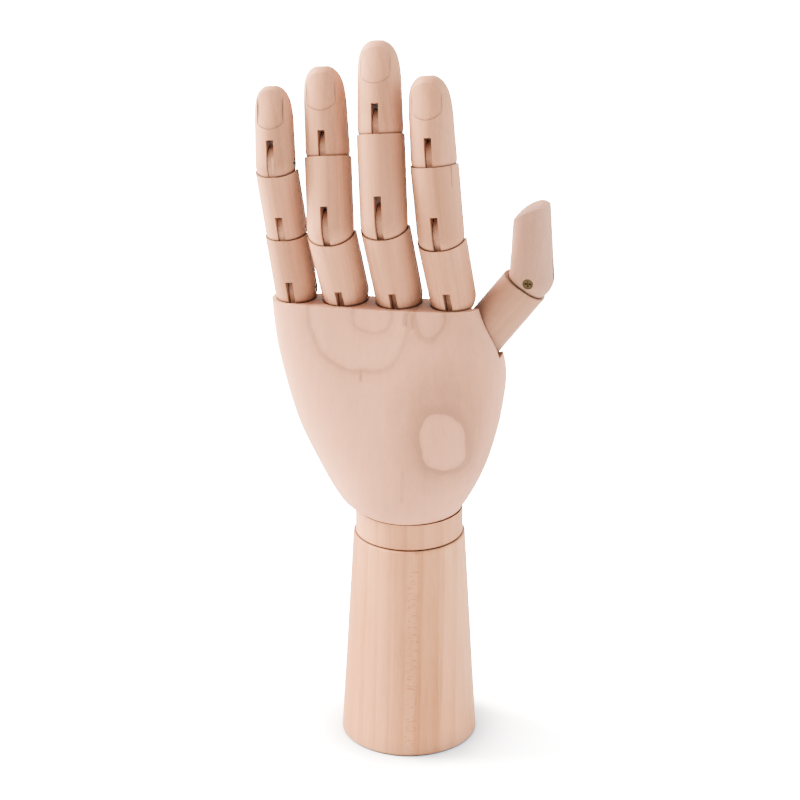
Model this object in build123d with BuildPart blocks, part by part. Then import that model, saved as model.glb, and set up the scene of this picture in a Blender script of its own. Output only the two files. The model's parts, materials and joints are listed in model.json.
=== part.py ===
from build123d import *
import os
from math import cos, pi, radians, sin, tan

# Jointed wooden artist's hand, a left hand standing on its forearm.
# Origin at the centre of the base, +Z up, back of the hand towards -Y,
# thumb towards +X.  All lengths in millimetres, all angles in degrees.

os.makedirs("parts", exist_ok=True)

# forearm and wrist
BASE_RADIUS = 27.9
WRIST_RADIUS = 22.4
FOREARM_HEIGHT = 90.4
COLLAR_RADIUS = 21.85
COLLAR_TOP = 101.8
BALL_RADIUS = 40.0
BALL_CENTRE_Z = 135.6
SEAT_GAP = 0.3
ROD_RADIUS = 2.0
EYE_RADIUS = 5.0
EYE_WIDTH = 4.6
WRIST_PIN_RADIUS = 1.9
WRIST_PIN_LENGTH = 46.0
WELL_RADIUS = 11.0
WELL_DEPTH = 40.0
SPRING_RADIUS = 6.5
SPRING_WIRE = 0.7
NUT_BOTTOM = 10.0
NUT_HEIGHT = 3.2
WASHER_HEIGHT = 1.2

# finger joints, shared by every joint of the hand
DISH_GAP = 0.25
RIM_WALL = 0.45
RIM_DROP = 2.5
PALM_RIM_DROP = 3.8
KNUCKLE_HEIGHT = 193.0
KNUCKLE_SLOPE = 2.0
OUTLINE_POINTS = 24
PALM_SIDE_DROP = 8.2
RELIEF_ANGLE = 36.0
SLOT_WIDTH = 3.0
THUMB_SLOT_REACH = 8.0
TONGUE_WIDTH = 2.7
TONGUE_RADIUS = 7.2
THUMB_TONGUE_RADIUS = 6.0
KNUCKLE_TONGUE_RADIUS = 5.6
TONGUE_DEPTH = 15.0
KNUCKLE_TONGUE_DEPTH = 11.5
GLUE_GAP = 0.02
SCREW_RADIUS = 1.1
HEAD_RADIUS = 2.15
HEAD_DEPTH = 1.2
HEAD_SINK = 0.55
NAIL_LENGTH = 17.4
NAIL_WIDTH = 0.66
NAIL_CURVE = 1.25
NAIL_SLOPE = 6.5
NAIL_SINK = 0.45

# fingertip sections: depth below the tip, half width, half depth and shift to
# the nail side, all in lower-end radii
TIP_SECTIONS = (
    (2.0, 0.96, 0.96, 0.0),
    (1.45, 0.945, 0.92, 0.02),
    (0.95, 0.90, 0.82, 0.07),
    (0.5, 0.78, 0.64, 0.15),
    (0.18, 0.55, 0.42, 0.22),
    (0.03, 0.27, 0.2, 0.26),
)

# each finger: knuckle x and z, sideways lean of its plane, forward angle of its
# three bones, their lengths, their lower radii, slot reaches and the screw side
FINGERS = {
    "index": (17.4, 193.9, 7.4, (-13, 8, 15), (28.3, 29.9, 32.1), (9.35, 9.35, 9.1), (6.2, 8.0, 8.0), -1),
    "middle": (-4.4, 192.9, 6.4, (-16, 17, 21), (34.2, 36.5, 33.8), (9.6, 9.4, 9.0), (6.2, 10.0, 8.8), -1),
    "ring": (-26.2, 192.3, 6.5, (-18, 18, 15), (31.0, 30.2, 32.9), (9.5, 9.3, 8.8), (6.2, 8.2, 8.0), -1),
    "little": (-46.4, 191.7, 6.3, (-6, -7, 18), (26.5, 27.4, 30.5), (8.6, 8.4, 8.0), (6.2, 8.0, 9.0), 1),
}

# thumb: base pin, sideways angle of its two bones, lengths, radii and swing
THUMB_BASE = (27.6, 6.0, 174.9)
THUMB_ANGLES = (37.0, -0.3)
THUMB_LENGTHS = (33.7, 30.2)
THUMB_RADII = (9.6, 9.0)
THUMB_RIM_DROP = 3.8
THUMB_SIDE_DROP = 5.6
THUMB_RELIEF_ANGLE = 20.0
THUMB_SWING = (-16.0, 14.0)


def save(piece, name):
    """Label a finished piece and write it as its own STEP file."""
    piece.label = name
    export_step(piece, "parts/" + name + ".step")


def finger_frame(x, z, lean, angle):
    """Frame with its hinge along local X, leaning sideways and forwards."""
    side = radians(lean)
    fore = radians(angle)
    along = Vector(-sin(side) * cos(fore), sin(fore), cos(side) * cos(fore))
    return Plane(origin=(x, 0, z), x_dir=(cos(side), 0, sin(side)), z_dir=along)


def thumb_frame(origin, angle):
    """Frame with its hinge along world Y and its nail side outwards."""
    side = radians(angle)
    return Plane(origin=origin, x_dir=(0, 1, 0), z_dir=(sin(side), 0, cos(side)))


def side_relief(radius, angle):
    """Wedge on the palm side, cleared down to the ball of the joint."""
    top = 2 * radius * tan(radians(angle))
    with BuildPart() as wedge:
        with BuildSketch(Plane.YZ):
            with BuildLine():
                Polyline((0, 0), (2 * radius, 0), (2 * radius, top), close=True)
            make_face()
        extrude(amount=2 * radius, both=True)
        Sphere(radius, mode=Mode.SUBTRACT)
    return wedge.part


def rim_cut(radius, drop, side_drop):
    """Everything above a cup: level at the back, sloping on the palm side."""
    with BuildPart() as cut:
        with BuildSketch(Plane.YZ):
            with BuildLine():
                Polyline(
                    (-2 * radius, -drop),
                    (0, -drop),
                    (radius, -side_drop),
                    (2 * radius, -side_drop),
                    (2 * radius, 3 * radius),
                    (-2 * radius, 3 * radius),
                    close=True,
                )
            make_face()
        extrude(amount=3 * radius, both=True)
    return cut.part


def screw_seat(radius, side):
    """Countersunk hole of a cheek screw, along local X."""
    with BuildPart() as seat:
        with BuildSketch(Plane.XY):
            with BuildLine():
                Polyline(
                    (radius - HEAD_SINK + 1.2, 0),
                    (radius - HEAD_SINK + 1.2, HEAD_RADIUS + GLUE_GAP),
                    (radius - HEAD_SINK - 0.17, HEAD_RADIUS + GLUE_GAP),
                    (radius - HEAD_SINK - HEAD_DEPTH - 0.02, SCREW_RADIUS + GLUE_GAP),
                    (1.8 - radius, SCREW_RADIUS + GLUE_GAP),
                    (1.8 - radius, 0),
                    close=True,
                )
            make_face()
        revolve(axis=Axis.X)
    return seat.part if side > 0 else seat.part.rotate(Axis.Z, 180)


def screw(radius, side):
    """Countersunk screw with a cross recess, along local X."""
    head = radius - HEAD_SINK
    with BuildPart() as body:
        with BuildSketch(Plane.XY):
            with BuildLine():
                Polyline(
                    (head, 0),
                    (head, HEAD_RADIUS),
                    (head - 0.15, HEAD_RADIUS),
                    (head - HEAD_DEPTH, SCREW_RADIUS),
                    (2.0 - radius, SCREW_RADIUS),
                    (2.0 - radius, 0),
                    close=True,
                )
            make_face()
        revolve(axis=Axis.X)
        with BuildSketch(Plane.YZ.offset(head)):
            Rectangle(2.7, 0.6)
            Rectangle(0.6, 2.7)
        extrude(amount=-0.8, mode=Mode.SUBTRACT)
    return body.part if side > 0 else body.part.rotate(Axis.Z, 180)


def tongue(tip, depth):
    """Flat wooden tongue, round about its pin, with its tenon below."""
    with BuildPart() as plate:
        with BuildSketch(Plane.YZ):
            Circle(tip)
            with Locations((0, -depth / 2)):
                Rectangle(2 * tip, depth)
            Circle(SCREW_RADIUS + 0.06, mode=Mode.SUBTRACT)
        extrude(amount=TONGUE_WIDTH / 2, both=True)
    return plate.part


def mortise(tip, depth):
    """Pocket for the tenon of a tongue, open at the top."""
    with BuildPart() as pocket:
        with Locations((0, 0, (4 - depth) / 2)):
            Box(
                TONGUE_WIDTH + 2 * GLUE_GAP,
                2 * (tip + GLUE_GAP),
                depth + 4 + 2 * GLUE_GAP,
            )
    return pocket.part


def lower_end(radius, reach, relief):
    """Tools for the lower end of a bone: tongue slot and palm-side relief."""
    with BuildPart() as slot:
        with Locations((0, 0, (reach - 2 * radius) / 2)):
            Box(SLOT_WIDTH, 4 * radius, reach + 2 * radius)
    return slot.part + side_relief(radius, relief)


def cup(ball, drop, side_drop, tip):
    """Tools for the cup that takes the next bone's ball, at local origin."""
    with BuildPart() as dish:
        Sphere(ball + DISH_GAP)
    return dish.part + rim_cut(ball + 1, drop, side_drop) + mortise(tip, TONGUE_DEPTH)


def bone(length, radius, tools, next_radius, next_cup):
    """Bone with a ball below, turning on its pin, and a cup above."""
    rim = next_radius + RIM_WALL
    with BuildPart() as body:
        with BuildSketch(Plane.XZ):
            with BuildLine():
                CenterArc((0, 0), radius, -90, 90)
                Polyline((radius, 0), (rim, length), (0, length), (0, -radius))
            make_face()
        revolve(axis=Axis.Z)
        for tool in tools:
            add(tool, mode=Mode.SUBTRACT)
        add(next_cup.moved(Location((0, 0, length))), mode=Mode.SUBTRACT)
    return body.part


def nail_tool(length, radius):
    """Shallow cut that leaves the nail: round at its foot, its sides running out."""
    half = NAIL_WIDTH * radius
    foot = length - NAIL_LENGTH
    turn = foot + 0.5 * half
    slope = radians(NAIL_SLOPE)
    curve = NAIL_CURVE * radius
    crest = (0, NAIL_SINK - TIP_SECTIONS[0][2] * radius, foot)
    with BuildPart() as tool:
        with BuildSketch(Plane.XZ):
            with BuildLine():
                Polyline((-half, turn), (-half, length + 5), (half, length + 5), (half, turn))
                ThreePointArc((half, turn), (0, foot), (-half, turn))
            make_face()
        extrude(amount=2 * radius)
        with BuildSketch(Plane(origin=crest, x_dir=(1, 0, 0), z_dir=(0, sin(slope), cos(slope)))):
            with Locations((0, curve)):
                Circle(curve)
        extrude(amount=3 * length, both=True, mode=Mode.SUBTRACT)
    return tool.part


def tip_bone(length, radius, tools):
    """Last bone of a finger, its rounded tip leaning to the nail side."""
    shoulder = length - TIP_SECTIONS[0][0] * radius
    with BuildPart() as body:
        with BuildSketch(Plane.XZ):
            with BuildLine():
                CenterArc((0, 0), radius, -90, 90)
                Polyline(
                    (radius, 0),
                    (TIP_SECTIONS[0][1] * radius, shoulder),
                    (0, shoulder),
                    (0, -radius),
                )
            make_face()
        revolve(axis=Axis.Z)
        for below, wide, deep, back in TIP_SECTIONS:
            with BuildSketch(Plane.XY.offset(length - below * radius)):
                with Locations((0, -back * radius)):
                    Ellipse(wide * radius, deep * radius)
        loft()
        for tool in tools:
            add(tool, mode=Mode.SUBTRACT)
    return body.part


def thumb_tip_bone(length, radius, tools):
    """Last bone of the thumb: a slanting pad facet rising to the nail."""
    end = 0.79 * radius
    with BuildPart() as body:
        with BuildSketch(Plane.XZ):
            with BuildLine():
                CenterArc((0, 0), radius, -90, 90)
                Polyline((radius, 0), (end, length), (0, length), (0, -radius))
            make_face()
        revolve(axis=Axis.Z)
        for tool in tools:
            add(tool, mode=Mode.SUBTRACT)
        with BuildSketch(Plane.YZ):
            with BuildLine():
                Spline(
                    (-1.3 * radius, length + 0.4),
                    (0.1 * radius, length - 1.6),
                    (0.7 * radius, length - 5.5),
                    (1.2 * radius, length - 14),
                )
                Polyline(
                    (1.2 * radius, length - 14),
                    (3 * radius, length - 14),
                    (3 * radius, length + 9),
                    (-1.3 * radius, length + 9),
                    (-1.3 * radius, length + 0.4),
                )
            make_face()
        extrude(amount=2 * radius, both=True, mode=Mode.SUBTRACT)
        with BuildSketch(Plane.YZ):
            with BuildLine():
                ThreePointArc((radius + 0.6, 5), (radius - 1.2, 12.5), (radius + 0.6, 20))
                Line((radius + 0.6, 20), (radius + 0.6, 5))
            make_face()
        extrude(amount=2 * radius, both=True, mode=Mode.SUBTRACT)
    return body.part


# palm: height, little-finger edge, thumb edge, half depth, squareness
PALM_PROFILE = (
    (93.2, -12.2, 9.8, 12.0, 2.0),
    (101.7, -23.8, 21.0, 21.8, 2.0),
    (108.0, -29.2, 25.0, 23.8, 2.1),
    (117.0, -35.0, 29.5, 23.4, 2.15),
    (130.0, -42.1, 34.0, 21.3, 2.25),
    (143.0, -47.4, 37.1, 18.8, 2.4),
    (156.0, -51.0, 38.9, 16.4, 2.6),
    (167.0, -53.4, 38.5, 14.4, 2.9),
    (180.0, -55.1, 33.2, 12.3, 3.3),
    (190.0, -55.9, 29.0, 10.7, 3.8),
    (200.0, -56.4, 27.1, 10.2, 4.0),
)


def palm_outline(left, right, depth, power):
    """Points of the rounded outline of the palm at one height."""
    centre = (left + right) / 2
    half = (right - left) / 2
    points = []
    for count in range(OUTLINE_POINTS):
        turn = 2 * pi * (count + 0.5) / OUTLINE_POINTS
        across = abs(cos(turn)) ** (2 / power) * (1 if cos(turn) > 0 else -1)
        deep = abs(sin(turn)) ** (2 / power) * (1 if sin(turn) > 0 else -1)
        points.append((centre + half * across, depth * deep))
    return points


def ball_trim():
    """Ring outside the wrist ball, around the foot of the palm."""
    with BuildPart() as ring:
        with Locations((0, 0, 84)):
            Cylinder(70, 32, align=(Align.CENTER, Align.CENTER, Align.MIN))
        with Locations((0, 0, BALL_CENTRE_Z)):
            Sphere(BALL_RADIUS, mode=Mode.SUBTRACT)
    return ring.part


def wrist_cavity():
    """Hollow for the rod and its eye, flared for both tilts."""
    with BuildPart() as cavity:
        with BuildSketch(Plane.XY.offset(BALL_CENTRE_Z)):
            Rectangle(5.6, 5.6)
        with BuildSketch(Plane.XY.offset(BALL_CENTRE_Z - 46)):
            Rectangle(22.4, 30.6)
        loft()
        with Locations((0, 0, BALL_CENTRE_Z)):
            Sphere(EYE_RADIUS + 1.4)
    with BuildPart() as bore:
        with Locations(Location((0, 0, BALL_CENTRE_Z), (0, 90, 0))):
            Cylinder(WRIST_PIN_RADIUS + 0.05, WRIST_PIN_LENGTH + 0.2)
    return cavity.part + bore.part


def knuckle_tools():
    """Cups and mortises of the four knuckles."""
    tools = []
    for x, z, lean, angles, lengths, radii, reaches, side in FINGERS.values():
        with BuildPart() as dish:
            Sphere(radii[0] + DISH_GAP)
        socket = dish.part + mortise(KNUCKLE_TONGUE_RADIUS, KNUCKLE_TONGUE_DEPTH)
        tools.append(socket.moved(finger_frame(x, z, lean, 0).location))
    return tools


def palm_top():
    """Everything above the palm: level at the back, sloping at the palm side."""
    with BuildPart() as cut:
        with BuildSketch(Plane.YZ):
            with BuildLine():
                Polyline(
                    (-30, -PALM_RIM_DROP),
                    (5, -PALM_RIM_DROP),
                    (11, -8.2),
                    (30, -8.2),
                    (30, 30),
                    (-30, 30),
                    close=True,
                )
            make_face()
        extrude(amount=80, both=True)
    slope = radians(KNUCKLE_SLOPE)
    place = Plane(
        origin=(-4.4, 0, KNUCKLE_HEIGHT),
        x_dir=(cos(slope), 0, sin(slope)),
        z_dir=(-sin(slope), 0, cos(slope)),
    )
    return cut.part.moved(place.location)


def thumb_pocket():
    """Pocket the thumb swings in, open to the palm side and outwards."""
    x, y, z = THUMB_BASE
    gap = THUMB_RADII[0] + DISH_GAP
    low = radians(THUMB_ANGLES[0] + THUMB_SWING[1])
    high = radians(THUMB_ANGLES[0] + THUMB_SWING[0])
    reach = 60.0
    lower = (x + gap * cos(low), z - gap * sin(low))
    upper = (x - gap * cos(high), z + gap * sin(high))
    with BuildPart() as pocket:
        with BuildSketch(Plane.XZ.offset(gap - y)):
            with BuildLine():
                Polyline(
                    (x, z),
                    lower,
                    (lower[0] + reach * sin(low), lower[1] + reach * cos(low)),
                    (upper[0] + reach * sin(high), upper[1] + reach * cos(high)),
                    upper,
                    close=True,
                )
            make_face()
        extrude(amount=-40)
        with Locations(THUMB_BASE):
            Sphere(gap)
    tenon = mortise(THUMB_TONGUE_RADIUS, TONGUE_DEPTH)
    return pocket.part + tenon.moved(thumb_frame(THUMB_BASE, THUMB_ANGLES[0]).location)


def make_palm():
    """Palm lofted up from the wrist ball, with all its pockets."""
    foot = ball_trim()
    top = palm_top()
    tools = knuckle_tools() + [thumb_pocket(), wrist_cavity()]
    with BuildPart() as palm:
        for height, left, right, depth, power in PALM_PROFILE:
            with BuildSketch(Plane.XY.offset(height)):
                with BuildLine():
                    Spline(*palm_outline(left, right, depth, power), periodic=True)
                make_face()
        loft()
        add(foot, mode=Mode.SUBTRACT)
        add(top, mode=Mode.SUBTRACT)
        for tool in tools:
            add(tool, mode=Mode.SUBTRACT)
    save(palm.part, "palm")


def make_forearm():
    """Tapered forearm with a well below and a bore for the rod."""
    with BuildPart() as forearm:
        with BuildSketch(Plane.XZ):
            with BuildLine():
                Polyline(
                    (0, 0),
                    (BASE_RADIUS - 0.6, 0),
                    (BASE_RADIUS, 0.6),
                    (WRIST_RADIUS + 0.4, FOREARM_HEIGHT - 0.5),
                    (WRIST_RADIUS, FOREARM_HEIGHT),
                    (0, FOREARM_HEIGHT),
                    close=True,
                )
            make_face()
        revolve(axis=Axis.Z)
        with BuildSketch(Plane.XY):
            Circle(WELL_RADIUS)
        extrude(amount=WELL_DEPTH, mode=Mode.SUBTRACT)
        with BuildSketch(Plane.XY):
            Circle(ROD_RADIUS + 0.4)
        extrude(amount=FOREARM_HEIGHT, mode=Mode.SUBTRACT)
    save(forearm.part, "forearm_base")


def make_collar():
    """Wrist collar, flat below and hollowed above for the palm's ball."""
    with BuildPart() as collar:
        with BuildSketch(Plane.XY.offset(FOREARM_HEIGHT + 0.15)):
            Circle(COLLAR_RADIUS)
        extrude(amount=16)
        chamfer(collar.edges().sort_by(Axis.Z)[0], 0.5)
        with Locations((0, 0, BALL_CENTRE_Z)):
            Sphere(BALL_RADIUS + SEAT_GAP, mode=Mode.SUBTRACT)
        with BuildSketch(Plane.XY.offset(FOREARM_HEIGHT)):
            Circle(ROD_RADIUS + GLUE_GAP)
        extrude(amount=20, mode=Mode.SUBTRACT)
        with BuildSketch(Plane.XY.offset(COLLAR_TOP)):
            Circle(40)
        extrude(amount=20, mode=Mode.SUBTRACT)
    save(collar.part, "wrist_collar")


def make_rod():
    """Tension rod with an eye, its hole flared both ways for the tilt."""
    with BuildPart() as rod:
        with BuildSketch(Plane.XY.offset(7)):
            Circle(ROD_RADIUS)
        extrude(amount=BALL_CENTRE_Z - 7)
        with BuildSketch(Plane.YZ.offset(-EYE_WIDTH / 2)):
            with Locations((0, BALL_CENTRE_Z)):
                Circle(EYE_RADIUS)
        extrude(amount=EYE_WIDTH)
        with BuildSketch(Plane.XZ):
            with BuildLine():
                Polyline(
                    (-EYE_WIDTH / 2, BALL_CENTRE_Z),
                    (-EYE_WIDTH / 2, BALL_CENTRE_Z + WRIST_PIN_RADIUS + 0.6),
                    (0, BALL_CENTRE_Z + WRIST_PIN_RADIUS + 0.1),
                    (EYE_WIDTH / 2, BALL_CENTRE_Z + WRIST_PIN_RADIUS + 0.6),
                    (EYE_WIDTH / 2, BALL_CENTRE_Z),
                    close=True,
                )
            make_face()
        revolve(axis=Axis((0, 0, BALL_CENTRE_Z), (1, 0, 0)), mode=Mode.SUBTRACT)
    save(rod.part, "wrist_rod")


def make_wrist_pin():
    """Cross pin through the eye, held in the palm."""
    with BuildPart() as pin:
        with Locations(Location((0, 0, BALL_CENTRE_Z), (0, 90, 0))):
            Cylinder(WRIST_PIN_RADIUS, WRIST_PIN_LENGTH)
    save(pin.part, "wrist_pin")


def make_tension_set():
    """Nut, washer and compression spring on the lower end of the rod."""
    with BuildPart() as nut:
        with BuildSketch(Plane.XY.offset(NUT_BOTTOM)):
            RegularPolygon(4.0, 6)
            Circle(ROD_RADIUS + GLUE_GAP, mode=Mode.SUBTRACT)
        extrude(amount=NUT_HEIGHT)
    save(nut.part, "wrist_nut")
    floor = NUT_BOTTOM + NUT_HEIGHT
    with BuildPart() as washer:
        with BuildSketch(Plane.XY.offset(floor)):
            Circle(9.0)
            Circle(ROD_RADIUS + GLUE_GAP, mode=Mode.SUBTRACT)
        extrude(amount=WASHER_HEIGHT)
    save(washer.part, "wrist_washer")
    start = floor + WASHER_HEIGHT + SPRING_WIRE
    height = WELL_DEPTH - 0.15 - SPRING_WIRE - start
    with BuildPart() as spring:
        with BuildLine() as coil:
            Helix(pitch=height / 7, height=height, radius=SPRING_RADIUS, center=(0, 0, start))
        with BuildSketch(Plane(origin=coil.line @ 0, z_dir=coil.line % 0)):
            Circle(SPRING_WIRE)
        sweep(path=coil.line, is_frenet=True)
    save(spring.part, "wrist_spring")


def make_finger(name):
    """Three bones, three tongues and three screws of one finger."""
    x, z, lean, angles, lengths, radii, reaches, side = FINGERS[name]
    root = finger_frame(x, z, lean, 0)
    first = finger_frame(x, z, lean, angles[0])
    second = finger_frame(x, z, lean, angles[1])
    second.origin = first.offset(lengths[0]).origin
    third = finger_frame(x, z, lean, angles[2])
    third.origin = second.offset(lengths[1]).origin
    frames = (first, second, third)
    tongue_frames = (root, first.offset(lengths[0]), second.offset(lengths[1]))
    root_plate = tongue(KNUCKLE_TONGUE_RADIUS, KNUCKLE_TONGUE_DEPTH)
    upper_plate = tongue(TONGUE_RADIUS, TONGUE_DEPTH)
    plates = (root_plate, upper_plate, upper_plate)
    tools = []
    for radius, reach in zip(radii, reaches):
        tools.append((lower_end(radius, reach, RELIEF_ANGLE), screw_seat(radius, side)))
    for count, part in enumerate(("proximal", "middle")):
        socket = cup(radii[count + 1], RIM_DROP, PALM_SIDE_DROP, TONGUE_RADIUS)
        piece = bone(lengths[count], radii[count], tools[count], radii[count + 1], socket)
        save(piece.moved(frames[count].location), name + "_" + part)
    carving = tools[2] + (nail_tool(lengths[2], radii[2]),)
    save(tip_bone(lengths[2], radii[2], carving).moved(third.location), name + "_distal")
    for count, joint in enumerate(("knuckle", "middle", "distal")):
        plate = plates[count].moved(tongue_frames[count].location)
        save(plate, name + "_" + joint + "_tongue")
        pin = screw(radii[count], side)
        save(pin.moved(frames[count].location), name + "_" + joint + "_screw")


def make_thumb():
    """Two bones, two tongues and two screws of the thumb."""
    first = thumb_frame(THUMB_BASE, THUMB_ANGLES[0])
    upper = first.offset(THUMB_LENGTHS[0])
    second = thumb_frame(upper.origin, THUMB_ANGLES[1])
    tools = []
    for radius in THUMB_RADII:
        slot = lower_end(radius, THUMB_SLOT_REACH, THUMB_RELIEF_ANGLE)
        tools.append((slot, screw_seat(radius, -1)))
    socket = cup(THUMB_RADII[1], THUMB_RIM_DROP, THUMB_SIDE_DROP, THUMB_TONGUE_RADIUS)
    lower = bone(THUMB_LENGTHS[0], THUMB_RADII[0], tools[0], THUMB_RADII[1], socket)
    save(lower.moved(first.location), "thumb_proximal")
    tip = thumb_tip_bone(THUMB_LENGTHS[1], THUMB_RADII[1], tools[1])
    save(tip.moved(second.location), "thumb_distal")
    plate = tongue(THUMB_TONGUE_RADIUS, TONGUE_DEPTH)
    save(plate.moved(first.location), "thumb_base_tongue")
    save(plate.moved(upper.location), "thumb_distal_tongue")
    save(screw(THUMB_RADII[0], -1).moved(first.location), "thumb_base_screw")
    save(screw(THUMB_RADII[1], -1).moved(second.location), "thumb_distal_screw")


make_forearm()
make_collar()
make_rod()
make_wrist_pin()
make_tension_set()
make_palm()
for finger in FINGERS:
    make_finger(finger)
make_thumb()
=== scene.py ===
"""Jointed wooden artist's hand: woods, metals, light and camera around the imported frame."""

import json
import math
import random

import bpy
from mathutils import Matrix, Vector

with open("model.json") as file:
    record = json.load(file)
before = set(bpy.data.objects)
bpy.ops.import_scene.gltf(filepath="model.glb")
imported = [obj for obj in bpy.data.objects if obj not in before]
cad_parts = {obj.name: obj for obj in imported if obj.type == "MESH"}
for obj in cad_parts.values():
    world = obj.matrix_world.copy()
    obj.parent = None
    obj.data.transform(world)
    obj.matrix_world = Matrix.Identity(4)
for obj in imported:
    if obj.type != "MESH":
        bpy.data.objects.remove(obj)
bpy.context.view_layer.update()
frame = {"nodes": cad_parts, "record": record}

NODES = frame["nodes"]
JOINTS = {joint["child"]: joint for joint in frame["record"]["behaviour"]["joints"]}
CHANCE = random.Random(7)

FINGERS = ("index", "middle", "ring", "little")
TONGUE_OF = {"proximal": "knuckle", "middle": "middle", "distal": "distal"}
STEEL_NODES = ("wrist_rod", "wrist_pin", "wrist_nut", "wrist_washer", "wrist_spring")

# Wood tones before each piece's own gain, and the painted shade colours laid into hollows, seams and screw
# recesses.
LIGHT_WOOD = (0.88, 0.47, 0.30)
DARK_WOOD = (0.47, 0.22, 0.11)
PALM_DARK = (0.43, 0.23, 0.15)
PAINTED_SEAM_SHADE = (0.06, 0.042, 0.03, 1.0)
SHADE = (0.17, 0.135, 0.11, 1.0)
TONGUE_GAIN = (0.88, 0.88, 0.86)
# Strength of the painted shade on the tongues, against 1 on the other wood.
TONGUE_PAINTED_SHADE = 0.4
FINGER_GAIN = (0.78, 0.675, 0.59)
LITTLE_FINGER_TONE = 0.88

# Distances in metres over which a surface counts as hemmed in and gets painted shade or painted shadow.
CREVICE_REACH = 0.001
HOLLOW_REACH = 0.010
SCREW_REACH = 0.002
FLOOR_SHADOW_REACH = 0.05

OVAL_POWER = 2.4

# Brightness of the floor and the surroundings as the camera sees them, and as they light the hand.
FLOOR_GAIN = 9.5
SKY_GAIN = 14.0
SIDE_LIGHT = 1.6
FRONT_LIGHT = 0.9
FLOOR_TONE = (0.84, 0.83, 0.82, 1.0)

# Grain direction of the palm, collar and forearm, and the ring centre of the last two.
UP = (0, 0, 1)
PITH = (0.2, 0.02, 0)

# The middle of the hand.
LAMP_TARGET = (0, 0, 0.17)


# ---------------------------------------------------------------- node helpers


def put(socket, value):
    """Link a socket to another socket, or set it to a plain value."""
    if isinstance(value, bpy.types.NodeSocket):
        socket.id_data.links.new(value, socket)
    else:
        socket.default_value = value


def node(tree, kind, inputs=None, **settings):
    """Add a node; inputs maps a socket's name or number to a value or an output."""
    made = tree.nodes.new("ShaderNode" + kind)
    for key, value in settings.items():
        setattr(made, key, value)
    for key, value in (inputs or {}).items():
        put(made.inputs[key], value)
    return made


def maths(tree, operation, *values):
    """Result of one arithmetic operation on sockets or numbers."""
    made = node(tree, "Math", dict(enumerate(values)), operation=operation)
    return made.outputs[0]


def plus(tree, *values):
    """Sum of several sockets or numbers."""
    total = values[0]
    for value in values[1:]:
        total = maths(tree, "ADD", total, value)
    return total


def times(tree, *values):
    """Product of several sockets or numbers."""
    total = values[0]
    for value in values[1:]:
        total = maths(tree, "MULTIPLY", total, value)
    return total


def ramp(tree, value, *stops):
    """Colour ramp with (position, grey or colour) stops."""
    made = node(tree, "ValToRGB", {0: value})
    elements = made.color_ramp.elements
    while len(elements) < len(stops):
        elements.new(0.5)
    for element, (position, colour) in zip(elements, stops):
        element.position = position
        if isinstance(colour, (int, float)):
            colour = (colour, colour, colour)
        element.color = (*colour, 1.0)
    return made.outputs[0]


def noise(tree, vector, scale, detail=3.0, roughness=0.5):
    """Grey noise over a vector."""
    inputs = {"Vector": vector, "Scale": scale, "Detail": detail, "Roughness": roughness}
    return node(tree, "TexNoise", inputs).outputs["Fac"]


def vectors(tree, operation, first, second):
    """Result of one operation on two vectors."""
    return node(tree, "VectorMath", {0: first, 1: second}, operation=operation).outputs[0]


def stretched(tree, vector, x, y, z):
    """A vector scaled along each axis."""
    return vectors(tree, "MULTIPLY", vector, (x, y, z))


def openness(tree, reach, samples):
    """1 where nothing is near a surface, falling to 0 deep in a hollow."""
    made = node(tree, "AmbientOcclusion", {"Distance": reach}, samples=samples)
    return made.outputs["AO"]


def blend(tree, factor, first, second):
    """Mix of two colours."""
    made = node(tree, "Mix", data_type="RGBA")
    put(made.inputs[0], factor)
    put(made.inputs[6], first)
    put(made.inputs[7], second)
    return made.outputs[2]


# ---------------------------------------------------------------- wood


def add_sockets(group):
    """Inputs and outputs of the wood group."""
    inputs = (
        ("Vector", "NodeSocketVector"),
        ("Ring centre", "NodeSocketVector"),
        ("Ring width", "NodeSocketFloat"),
        ("Ring strength", "NodeSocketFloat"),
        ("Grain", "NodeSocketFloat"),
        ("Light", "NodeSocketColor"),
        ("Dark", "NodeSocketColor"),
        ("Figure", "NodeSocketFloat"),
    )
    outputs = (
        ("Color", "NodeSocketColor"),
        ("Roughness", "NodeSocketFloat"),
        ("Height", "NodeSocketFloat"),
    )
    for direction, sockets in (("INPUT", inputs), ("OUTPUT", outputs)):
        for name, kind in sockets:
            group.interface.new_socket(name=name, in_out=direction, socket_type=kind)


def ring_tone(tree, place, centre, width):
    """Late wood of the growth rings, whose common centre lies off the piece."""
    inputs = {"Vector": stretched(tree, place, 1, 1, 0.25), "Scale": 22.0, "Detail": 2.0}
    wander = node(tree, "TexNoise", inputs).outputs["Color"]
    centred = vectors(tree, "SUBTRACT", wander, (0.5, 0.5, 0.5))
    bent = vectors(tree, "ADD", place, stretched(tree, centred, 0.006, 0.006, 0.0))
    away = stretched(tree, vectors(tree, "SUBTRACT", bent, centre), 1, 1, 0.04)
    radius = node(tree, "VectorMath", {0: away}, operation="LENGTH").outputs["Value"]
    rings = maths(tree, "FRACT", maths(tree, "DIVIDE", radius, width))
    return ramp(tree, rings, (0.0, 0.25), (0.12, 0.0), (0.6, 0.18), (0.9, 0.75), (0.97, 1.0), (1.0, 0.3))


def pore_tone(tree, place):
    """Short dark pores along the grain, in patches."""
    cells = node(tree, "TexVoronoi", {"Vector": stretched(tree, place, 1, 1, 0.09), "Scale": 1500.0})
    pore = ramp(tree, cells.outputs["Distance"], (0.0, 1.0), (0.12, 0.7), (0.2, 0.0))
    patchy = ramp(tree, noise(tree, place, 90.0), (0.45, 0.0), (0.65, 1.0))
    return times(tree, pore, patchy)


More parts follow.
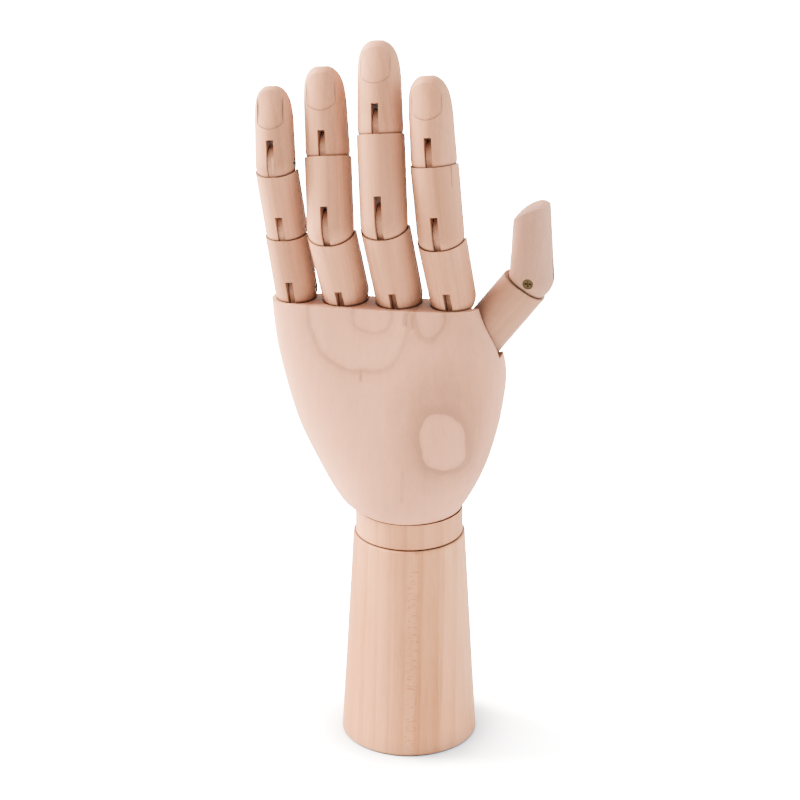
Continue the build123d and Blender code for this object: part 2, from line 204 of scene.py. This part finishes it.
def wood_group():
    """Fine pale hardwood; grain along local Z, growth rings about a far centre."""
    group = bpy.data.node_groups.new("pale_wood", "ShaderNodeTree")
    add_sockets(group)
    start = group.nodes.new("NodeGroupInput").outputs
    end = group.nodes.new("NodeGroupOutput").inputs

    place = start["Vector"]
    rings = ring_tone(group, place, start["Ring centre"], start["Ring width"])
    fibre_wide = noise(group, stretched(group, place, 1, 1, 0.03), 420.0, 4.0, 0.6)
    fibre_fine = noise(group, stretched(group, place, 1, 1, 0.025), 1900.0, 3.0, 0.6)
    cloud = noise(group, stretched(group, place, 1, 1, 0.35), 38.0, 3.0)
    pore = pore_tone(group, place)

    wide_tone = times(group, ramp(group, fibre_wide, (0.3, 1.0), (0.7, 0.0)), 0.34)
    fine_tone = times(group, ramp(group, fibre_fine, (0.35, 1.0), (0.65, 0.0)), 0.2)
    grain = times(group, plus(group, wide_tone, fine_tone, times(group, pore, 0.22)), start["Grain"])
    cloud_tone = times(group, ramp(group, cloud, (0.3, 1.0), (0.7, 0.0)), 0.28)
    ring_part = times(group, rings, start["Ring strength"])
    dark = plus(group, grain, cloud_tone, ring_part, start["Figure"])
    put(end["Color"], blend(group, dark, start["Light"], start["Dark"]))

    put(end["Roughness"], ramp(group, fibre_wide, (0.3, 0.62), (0.7, 0.5)))
    height = plus(group, times(group, fibre_fine, 0.5), times(group, fibre_wide, 0.5))
    put(end["Height"], maths(group, "SUBTRACT", height, times(group, pore, 0.6)))
    return group


WOOD = wood_group()


def shade(colour, gain):
    """A tone times its gain, as an opaque colour."""
    return tuple(min(1.0, c * g) for c, g in zip(colour, gain)) + (1.0,)


def local_place(tree, origin, along):
    """Coordinates in a piece's own frame: its pin at zero, its grain along Z."""
    coordinates = node(tree, "TexCoord").outputs["Object"]
    mapping = node(tree, "Mapping", {"Vector": coordinates}, vector_type="TEXTURE")
    mapping.inputs["Location"].default_value = origin
    mapping.inputs["Rotation"].default_value = Vector(along).to_track_quat("Z", "Y").to_euler()
    return mapping.outputs[0]


def far_ring_centre():
    """A ring centre 30 to 60 mm off the grain's axis, in a direction left to chance."""
    angle = CHANCE.uniform(0, 2 * math.pi)
    reach = CHANCE.uniform(0.03, 0.06)
    return reach * math.cos(angle), reach * math.sin(angle), 0


def with_painted_shade(tree, colour, painted_shade):
    """Wood colour with painted shade: browner in the hollows and dark in the seams."""
    # Painted shade: the wood turns dark within a millimetre of a seam and browner within a centimetre of a
    # hollow.
    crevice = openness(tree, CREVICE_REACH, samples=14)
    seam_shade = ramp(tree, crevice, (0.15, 0.95 * painted_shade), (0.5, 0.72 * painted_shade), (0.8, 0.3 * painted_shade), (0.95, 0.0))
    hollow = openness(tree, HOLLOW_REACH, samples=10)
    hollow_shade = ramp(tree, hollow, (0.25, 0.45 * painted_shade), (0.6, 0.25 * painted_shade), (0.95, 0.0))
    return blend(tree, seam_shade, blend(tree, hollow_shade, colour, SHADE), PAINTED_SEAM_SHADE)


def wood(
    name,
    origin,
    along,
    gain,
    ring_width=0.0032,
    ring_strength=0.22,
    centre=None,
    grain=0.8,
    figure=None,
    painted_shade=1.0,
    dark=DARK_WOOD,
):
    """Wood material for one piece, with its own rings, grain and tone, and painted shade in its seams and
    hollows.
    """
    material = bpy.data.materials.new(name)
    material.use_nodes = True
    tree = material.node_tree
    tree.nodes.clear()
    seed = Vector([CHANCE.uniform(-3, 3) for _ in range(3)])
    spare_centre = far_ring_centre()
    place = vectors(tree, "ADD", local_place(tree, origin, along), seed)
    body = tree.nodes.new("ShaderNodeGroup")
    body.node_tree = WOOD
    put(body.inputs["Vector"], place)
    put(body.inputs["Ring centre"], Vector(centre or spare_centre) + seed)
    put(body.inputs["Ring width"], ring_width)
    put(body.inputs["Ring strength"], ring_strength)
    put(body.inputs["Grain"], grain)
    put(body.inputs["Light"], shade(LIGHT_WOOD, gain))
    put(body.inputs["Dark"], shade(dark, gain))
    # The figure darkens the wood; for the forearm it also holds painted shade on the left flank.
    put(body.inputs["Figure"], figure(tree) if figure else 0.0)
    bump_inputs = {"Height": body.outputs["Height"], "Strength": 0.15, "Distance": 0.0003}
    inputs = {
        "Base Color": with_painted_shade(tree, body.outputs["Color"], painted_shade),
        "Roughness": body.outputs["Roughness"],
        "Normal": node(tree, "Bump", bump_inputs).outputs[0],
        "Specular IOR Level": 0.18,
    }
    shader = node(tree, "BsdfPrincipled", inputs)
    out = node(tree, "OutputMaterial")
    tree.links.new(shader.outputs[0], out.inputs["Surface"])
    return material


# ---------------------------------------------------------------- grain figure of single pieces


def wavering(tree, size, amount):
    """Object coordinates, shifted about by soft noise, split into X, Y and Z."""
    place = node(tree, "TexCoord").outputs["Object"]
    inputs = {"Vector": place, "Scale": size, "Detail": 2.0}
    cloud = node(tree, "TexNoise", inputs).outputs["Color"]
    centred = vectors(tree, "SUBTRACT", cloud, (0.5, 0.5, 0.5))
    bent = vectors(tree, "ADD", place, stretched(tree, centred, amount, amount, amount))
    return node(tree, "SeparateXYZ", {0: bent}).outputs


def oval(tree, spot, across, height, half_width, half_height, tilt=0.0):
    """Distance from a squarish oval's middle on the X-Z plane, 1 on its outline."""
    x = maths(tree, "SUBTRACT", spot["X"], across)
    z = maths(tree, "SUBTRACT", spot["Z"], height)
    x = plus(tree, x, times(tree, z, tilt))
    powers = []
    for offset, half in ((x, half_width), (z, half_height)):
        share = maths(tree, "ABSOLUTE", maths(tree, "DIVIDE", offset, half))
        powers.append(maths(tree, "POWER", share, OVAL_POWER))
    return maths(tree, "POWER", plus(tree, *powers), 1 / OVAL_POWER)


def contour(tree, distance, width):
    """Line where the distance is 1, fading over a few widths and further on its outer side."""
    steps = ((-2.5, 0.0), (-1, 0.3), (-0.3, 1.0), (0.3, 0.9), (1.2, 0.3), (4, 0.0))
    stops = [(0.5 + 0.5 * width * step, tone) for step, tone in steps]
    return ramp(tree, times(tree, distance, 0.5), *stops)


def slope(tree, value, low, high, first, last):
    """Straight change from one number to another between two values, level beyond them."""
    inputs = {0: value, 1: low, 2: high, 3: first, 4: last}
    return node(tree, "MapRange", inputs, clamp=True).outputs[0]


def band(tree, value, low, high, soft):
    """1 between two values, falling to 0 over a soft margin outside them."""
    rise = slope(tree, value, low - soft, low, 0.0, 1.0)
    fall = slope(tree, value, high, high + soft, 1.0, 0.0)
    return times(tree, rise, fall)


# Ovals on the back of the palm: across, height, half width, half height, tilt.
LARGE_OVAL = (-0.0182, 0.1862, 0.0202, 0.0220, 0.0)
INNER_OVAL = (-0.0128, 0.1868, 0.0080, 0.0066, 0.0)
SIDE_OVAL = (0.0102, 0.1885, 0.0062, 0.0088, 0.0)
KNOT_OVAL = (0.0172, 0.1380, 0.0091, 0.0124, 0.12)
GROUND_OVALS = ((-0.0172, 0.1862, 0.0215, 0.0222), (0.0172, 0.1380, 0.0092, 0.0126, 0.12))
SHADED_OVAL = (0.0165, 0.1450, 0.0230, 0.0300)


def palm_outlines(tree, spot):
    """Outlines of the rings that the curved back of the palm cuts open."""
    total = 0.0
    for shape, line, strength in (
        (LARGE_OVAL, 0.060, 0.42),
        (INNER_OVAL, 0.14, 0.36),
        (SIDE_OVAL, 0.15, 0.4),
        (KNOT_OVAL, 0.10, 0.5),
    ):
        line_tone = contour(tree, oval(tree, spot, *shape), line)
        total = plus(tree, total, times(tree, line_tone, strength))
    return total


def palm_streaks(tree):
    """Short dark streaks along the grain: across, lower end, upper end, half width, strength."""
    spot = wavering(tree, 300.0, 0.0006)
    total = 0.0
    for across, low, high, half, strength in (
        (-0.0163, 0.1605, 0.1638, 0.0003, 0.6),
        (0.0008, 0.1840, 0.1885, 0.0007, 0.5),
        (0.0038, 0.1830, 0.1880, 0.0004, 0.4),
        (0.0022, 0.1130, 0.1250, 0.0006, 0.2),
    ):
        side = band(tree, spot["X"], across - half, across + half, 0.0004)
        level = band(tree, spot["Z"], low, high, 0.001)
        total = plus(tree, total, times(tree, side, level, strength))
    return total


def palm_figure(tree):
    """Figure of the palm's back: outlines, streaks, and darker ground outside the ovals."""
    spot = wavering(tree, 60.0, 0.0055)
    behind = band(tree, spot["Y"], -0.05, -0.004, 0.004)
    outside = [ramp(tree, oval(tree, spot, *shape), (0.9, 0.0), (1.0, 1.0)) for shape in GROUND_OVALS]
    ground = times(tree, *outside, 0.13)
    shaded = ramp(tree, oval(tree, spot, *SHADED_OVAL), (0.5, 0.36), (1.0, 0.0))
    shaded = times(tree, shaded, outside[1])
    place = node(tree, "TexCoord").outputs["Object"]
    cloud = noise(tree, stretched(tree, place, 1, 1, 0.4), 26.0, 2.0)
    drift = ramp(tree, cloud, (0.35, 0.0), (0.7, 0.26))
    total = plus(tree, palm_outlines(tree, spot), palm_streaks(tree), ground, drift, shaded)
    return times(tree, total, behind)


def forearm_figure_and_shade(tree):
    """A darker strip of heartwood down the back, short flecks along it, and painted shade darkening the
    left flank.
    """
    spot = wavering(tree, 25.0, 0.002)
    behind = band(tree, spot["Y"], -0.05, -0.002, 0.002)
    strip = band(tree, spot["X"], -0.0006, 0.0179, 0.0008)
    heart = band(tree, spot["X"], 0.0086, 0.0179, 0.0006)
    place = node(tree, "TexCoord").outputs["Object"]
    dash = noise(tree, stretched(tree, place, 0.22, 0.22, 1), 1500.0, 2.0)
    dash = ramp(tree, dash, (0.55, 0.0), (0.66, 1.0))
    flecks = times(tree, dash, band(tree, spot["X"], 0.0050, 0.0085, 0.001), 0.4)
    tone = plus(tree, times(tree, strip, 0.14), times(tree, heart, 0.16), flecks)
    # Painted shade: the left side, which faces the key lamp, is darkened.
    painted_left_shade = slope(tree, spot["X"], -0.026, -0.006, 0.9, 0.0)
    return plus(tree, times(tree, tone, behind), painted_left_shade)


def index_crack(tree):
    """Hairline drying crack near the upper end of the index finger's middle bone."""
    spot = wavering(tree, 220.0, 0.0012)
    leaning = plus(tree, spot["X"], times(tree, spot["Z"], 0.12))
    side = band(tree, leaning, 0.0479, 0.0481, 0.00012)
    level = band(tree, spot["Z"], 0.2425, 0.2500, 0.001)
    behind = band(tree, spot["Y"], -0.05, -0.001, 0.001)
    return times(tree, side, level, behind)


# ---------------------------------------------------------------- metal


def metal(name, colour, roughness):
    """Small metal fitting, slightly scratched and tarnished, with painted shade in its recesses."""
    material = bpy.data.materials.new(name)
    material.use_nodes = True
    tree = material.node_tree
    shader = tree.nodes["Principled BSDF"]
    place = node(tree, "TexCoord").outputs["Object"]
    stain = noise(tree, place, 700.0, 4.0, 0.6)
    scratch = noise(tree, stretched(tree, place, 1, 0.1, 1), 3000.0)
    tarnished = tuple(0.55 * c for c in colour)
    tone = ramp(tree, stain, (0.3, tarnished), (0.65, colour))
    # Painted shade: the fitting turns dark within two millimetres of other surfaces, as in a screw's
    # recess.
    hollow = openness(tree, SCREW_REACH, samples=12)
    recess_shade = ramp(tree, hollow, (0.45, 0.97), (0.8, 0.4), (0.96, 0.0))
    put(shader.inputs["Base Color"], blend(tree, recess_shade, tone, PAINTED_SEAM_SHADE))
    put(shader.inputs["Roughness"], ramp(tree, scratch, (0.3, roughness), (0.7, roughness + 0.2)))
    shader.inputs["Metallic"].default_value = 1.0
    bump = node(tree, "Bump", {"Height": scratch, "Strength": 0.1, "Distance": 0.0001})
    put(shader.inputs["Normal"], bump.outputs[0])
    return material


# ---------------------------------------------------------------- pieces


def coat(name, material):
    """Give a CAD node its material."""
    slots = NODES[name].material_slots
    if slots:
        for entry in slots:
            entry.material = material
    else:
        NODES[name].data.materials.append(material)


def pin_of(body):
    """Where a body's hinge stands at rest."""
    return Vector(JOINTS[body]["pos_m"])


def far_point(name, start):
    """The vertex of a node that lies farthest from a point."""
    return max((v.co for v in NODES[name].data.vertices), key=lambda v: (v - start).length)


def tongue_wood(name, origin, along):
    """The paler wood of a tongue, with weaker painted shade."""
    return wood(name, origin, along, TONGUE_GAIN, painted_shade=TONGUE_PAINTED_SHADE)


def dress_finger(digit):
    """Each bone of a finger and the tongue at its foot, with the grain along the bone."""
    pins = [pin_of(digit + bone) for bone in ("_first_bone", "_second_bone", "_tip_bone")]
    ends = [*pins[1:], far_point(digit + "_distal", pins[2])]
    for part, start, stop in zip(TONGUE_OF, pins, ends):
        name = f"{digit}_{part}"
        tone = CHANCE.uniform(0.95, 1.03)
        if digit == "little":
            tone *= LITTLE_FINGER_TONE
        gain = tuple(tone * share for share in FINGER_GAIN)
        figure = index_crack if name == "index_middle" else None
        along = stop - start
        bone = wood("wood_" + name, start, along, gain, ring_strength=0.15, grain=0.6, figure=figure)
        tongue = tongue_wood(f"wood_{name}_tongue", start, along)
        coat(name, bone)
        coat(f"{digit}_{TONGUE_OF[part]}_tongue", tongue)


def dress_thumb():
    """The thumb's two bones, duller and less yellow than the fingers, and their tongues."""
    base = pin_of("thumb_first_bone")
    joint = pin_of("thumb_tip_bone")
    end = far_point("thumb_distal", joint)
    along = joint - base
    calm = {"ring_width": 0.0045, "grain": 0.45}
    proximal = wood("wood_thumb_proximal", base, along, (0.6, 0.555, 0.525), ring_strength=0.1, **calm)
    distal = wood("wood_thumb_distal", joint, end - joint, (0.63, 0.625, 0.66), ring_strength=0.08, **calm)
    coat("thumb_proximal", proximal)
    coat("thumb_distal", distal)
    coat("thumb_base_tongue", tongue_wood("wood_thumb_base_tongue", base, along))
    coat("thumb_distal_tongue", tongue_wood("wood_thumb_distal_tongue", joint, along))


def dress_bones():
    """All bones of the fingers and the thumb."""
    for digit in FINGERS:
        dress_finger(digit)
    dress_thumb()


def dress_body():
    """Palm, collar and forearm, with the grain upright."""
    palm = wood(
        "wood_palm",
        origin=(0, 0, 0.134),
        along=UP,
        gain=(1.03, 0.9, 0.83),
        ring_width=0.0034,
        ring_strength=0.03,
        centre=(0, 0.07, 0),
        grain=0.3,
        figure=palm_figure,
        dark=PALM_DARK,
    )
    collar = wood(
        "wood_collar",
        origin=(0, 0, 0.091),
        along=UP,
        gain=(0.81, 0.67, 0.51),
        ring_width=0.0062,
        ring_strength=0.26,
        centre=PITH,
        grain=0.6,
    )
    forearm = wood(
        "wood_forearm",
        origin=(0, 0, 0),
        along=UP,
        gain=(0.93, 0.785, 0.6),
        ring_width=0.0062,
        ring_strength=0.24,
        centre=PITH,
        grain=0.6,
        figure=forearm_figure_and_shade,
    )
    coat("palm", palm)
    coat("wrist_collar", collar)
    coat("forearm_base", forearm)


def dress_metal():
    """Brass screws at the joints, and the steel fittings of the wrist."""
    brass = metal("dull_brass", (0.085, 0.062, 0.03), 0.22)
    steel = metal("zinc_steel", (0.5, 0.5, 0.52), 0.35)
    for name in NODES:
        if name.endswith("_screw"):
            coat(name, brass)
        elif name in STEEL_NODES:
            coat(name, steel)


# ---------------------------------------------------------------- studio


def floor():
    """White studio floor; the camera sees it overexposed with a painted contact shadow around the base,
    and it lights the hand as plain white.
    """
    bpy.ops.mesh.primitive_plane_add(size=8, location=(0, 0, -0.0002))
    ground = bpy.context.object
    ground.name = "studio_floor"
    material = bpy.data.materials.new("white_floor")
    material.use_nodes = True
    tree = material.node_tree
    tree.nodes.clear()
    seen = node(tree, "LightPath").outputs["Is Camera Ray"]
    # Painted shadow: the floor the camera sees turns a dark bluish grey where the hand's base hems it in.
    open_sky = openness(tree, FLOOR_SHADOW_REACH, samples=16)
    seen_floor_with_painted_shadow = ramp(tree, open_sky, (0.35, (0.05, 0.053, 0.056)), (0.72, (0.2, 0.21, 0.22)), (0.97, 1.0))
    seen_floor_with_painted_shadow = stretched(tree, seen_floor_with_painted_shadow, FLOOR_GAIN, FLOOR_GAIN, FLOOR_GAIN)
    shader = node(tree, "BsdfDiffuse", {"Color": blend(tree, seen, FLOOR_TONE, seen_floor_with_painted_shadow)})
    out = node(tree, "OutputMaterial")
    tree.links.new(shader.outputs[0], out.inputs["Surface"])
    ground.data.materials.append(material)


def lamp(name, place, power, size, colour):
    """Soft rectangular lamp aimed at the middle of the hand."""
    light = bpy.data.lights.new(name, "AREA")
    light.shape = "RECTANGLE"
    light.size, light.size_y = size
    light.energy = power
    light.color = colour
    holder = bpy.data.objects.new(name, light)
    holder.location = place
    holder.rotation_euler = (Vector(LAMP_TARGET) - Vector(place)).to_track_quat("-Z", "Y").to_euler()
    bpy.context.scene.collection.objects.link(holder)


def studio():
    """White surroundings, dimmer on the camera's side, and two soft lamps."""
    world = bpy.data.worlds.new("studio_white")
    world.use_nodes = True
    tree = world.node_tree
    background = tree.nodes["Background"]
    direction = node(tree, "TexCoord").outputs["Generated"]
    split = node(tree, "SeparateXYZ", {0: direction})
    depth = maths(tree, "MULTIPLY_ADD", split.outputs["Y"], 0.5, 0.5)
    lighting = ramp(tree, depth, (0.0, FRONT_LIGHT), (0.55, SIDE_LIGHT))
    seen = node(tree, "LightPath").outputs["Is Camera Ray"]
    put(background.inputs["Color"], blend(tree, seen, lighting, (SKY_GAIN, SKY_GAIN, SKY_GAIN, 1)))
    background.inputs["Strength"].default_value = 1.0
    bpy.context.scene.world = world
    floor()
    lamp("key_left", (-0.9, 0.05, 0.62), 98, (0.5, 0.9), (1.0, 0.86, 0.73))
    lamp("fill_right", (1.3, 0.1, 0.6), 24, (0.8, 1.4), (0.88, 0.95, 1.0))


def camera():
    """Long lens, a little above and to the thumb side of the back of the hand."""
    azimuth = math.radians(13.0)
    pitch = math.radians(22.6)
    distance = 1.261
    aside = 0.0038
    below = 0.1360
    away = (-math.sin(azimuth), math.cos(azimuth))
    forward = Vector((away[0] * math.cos(pitch), away[1] * math.cos(pitch), -math.sin(pitch)))
    right = Vector((math.cos(azimuth), math.sin(azimuth), 0))
    up = right.cross(forward)
    place = -(right * aside - up * below + forward * distance)
    data = bpy.data.cameras.new("photo_camera")
    data.sensor_width = 36
    data.lens = 135
    data.clip_end = 30
    seat = bpy.data.objects.new("photo_camera", data)
    seat.matrix_world = Matrix.Translation(place) @ Matrix((right, up, -forward)).transposed().to_4x4()
    bpy.context.scene.collection.objects.link(seat)
    bpy.context.scene.camera = seat


dress_bones()
dress_body()
dress_metal()
studio()
camera()
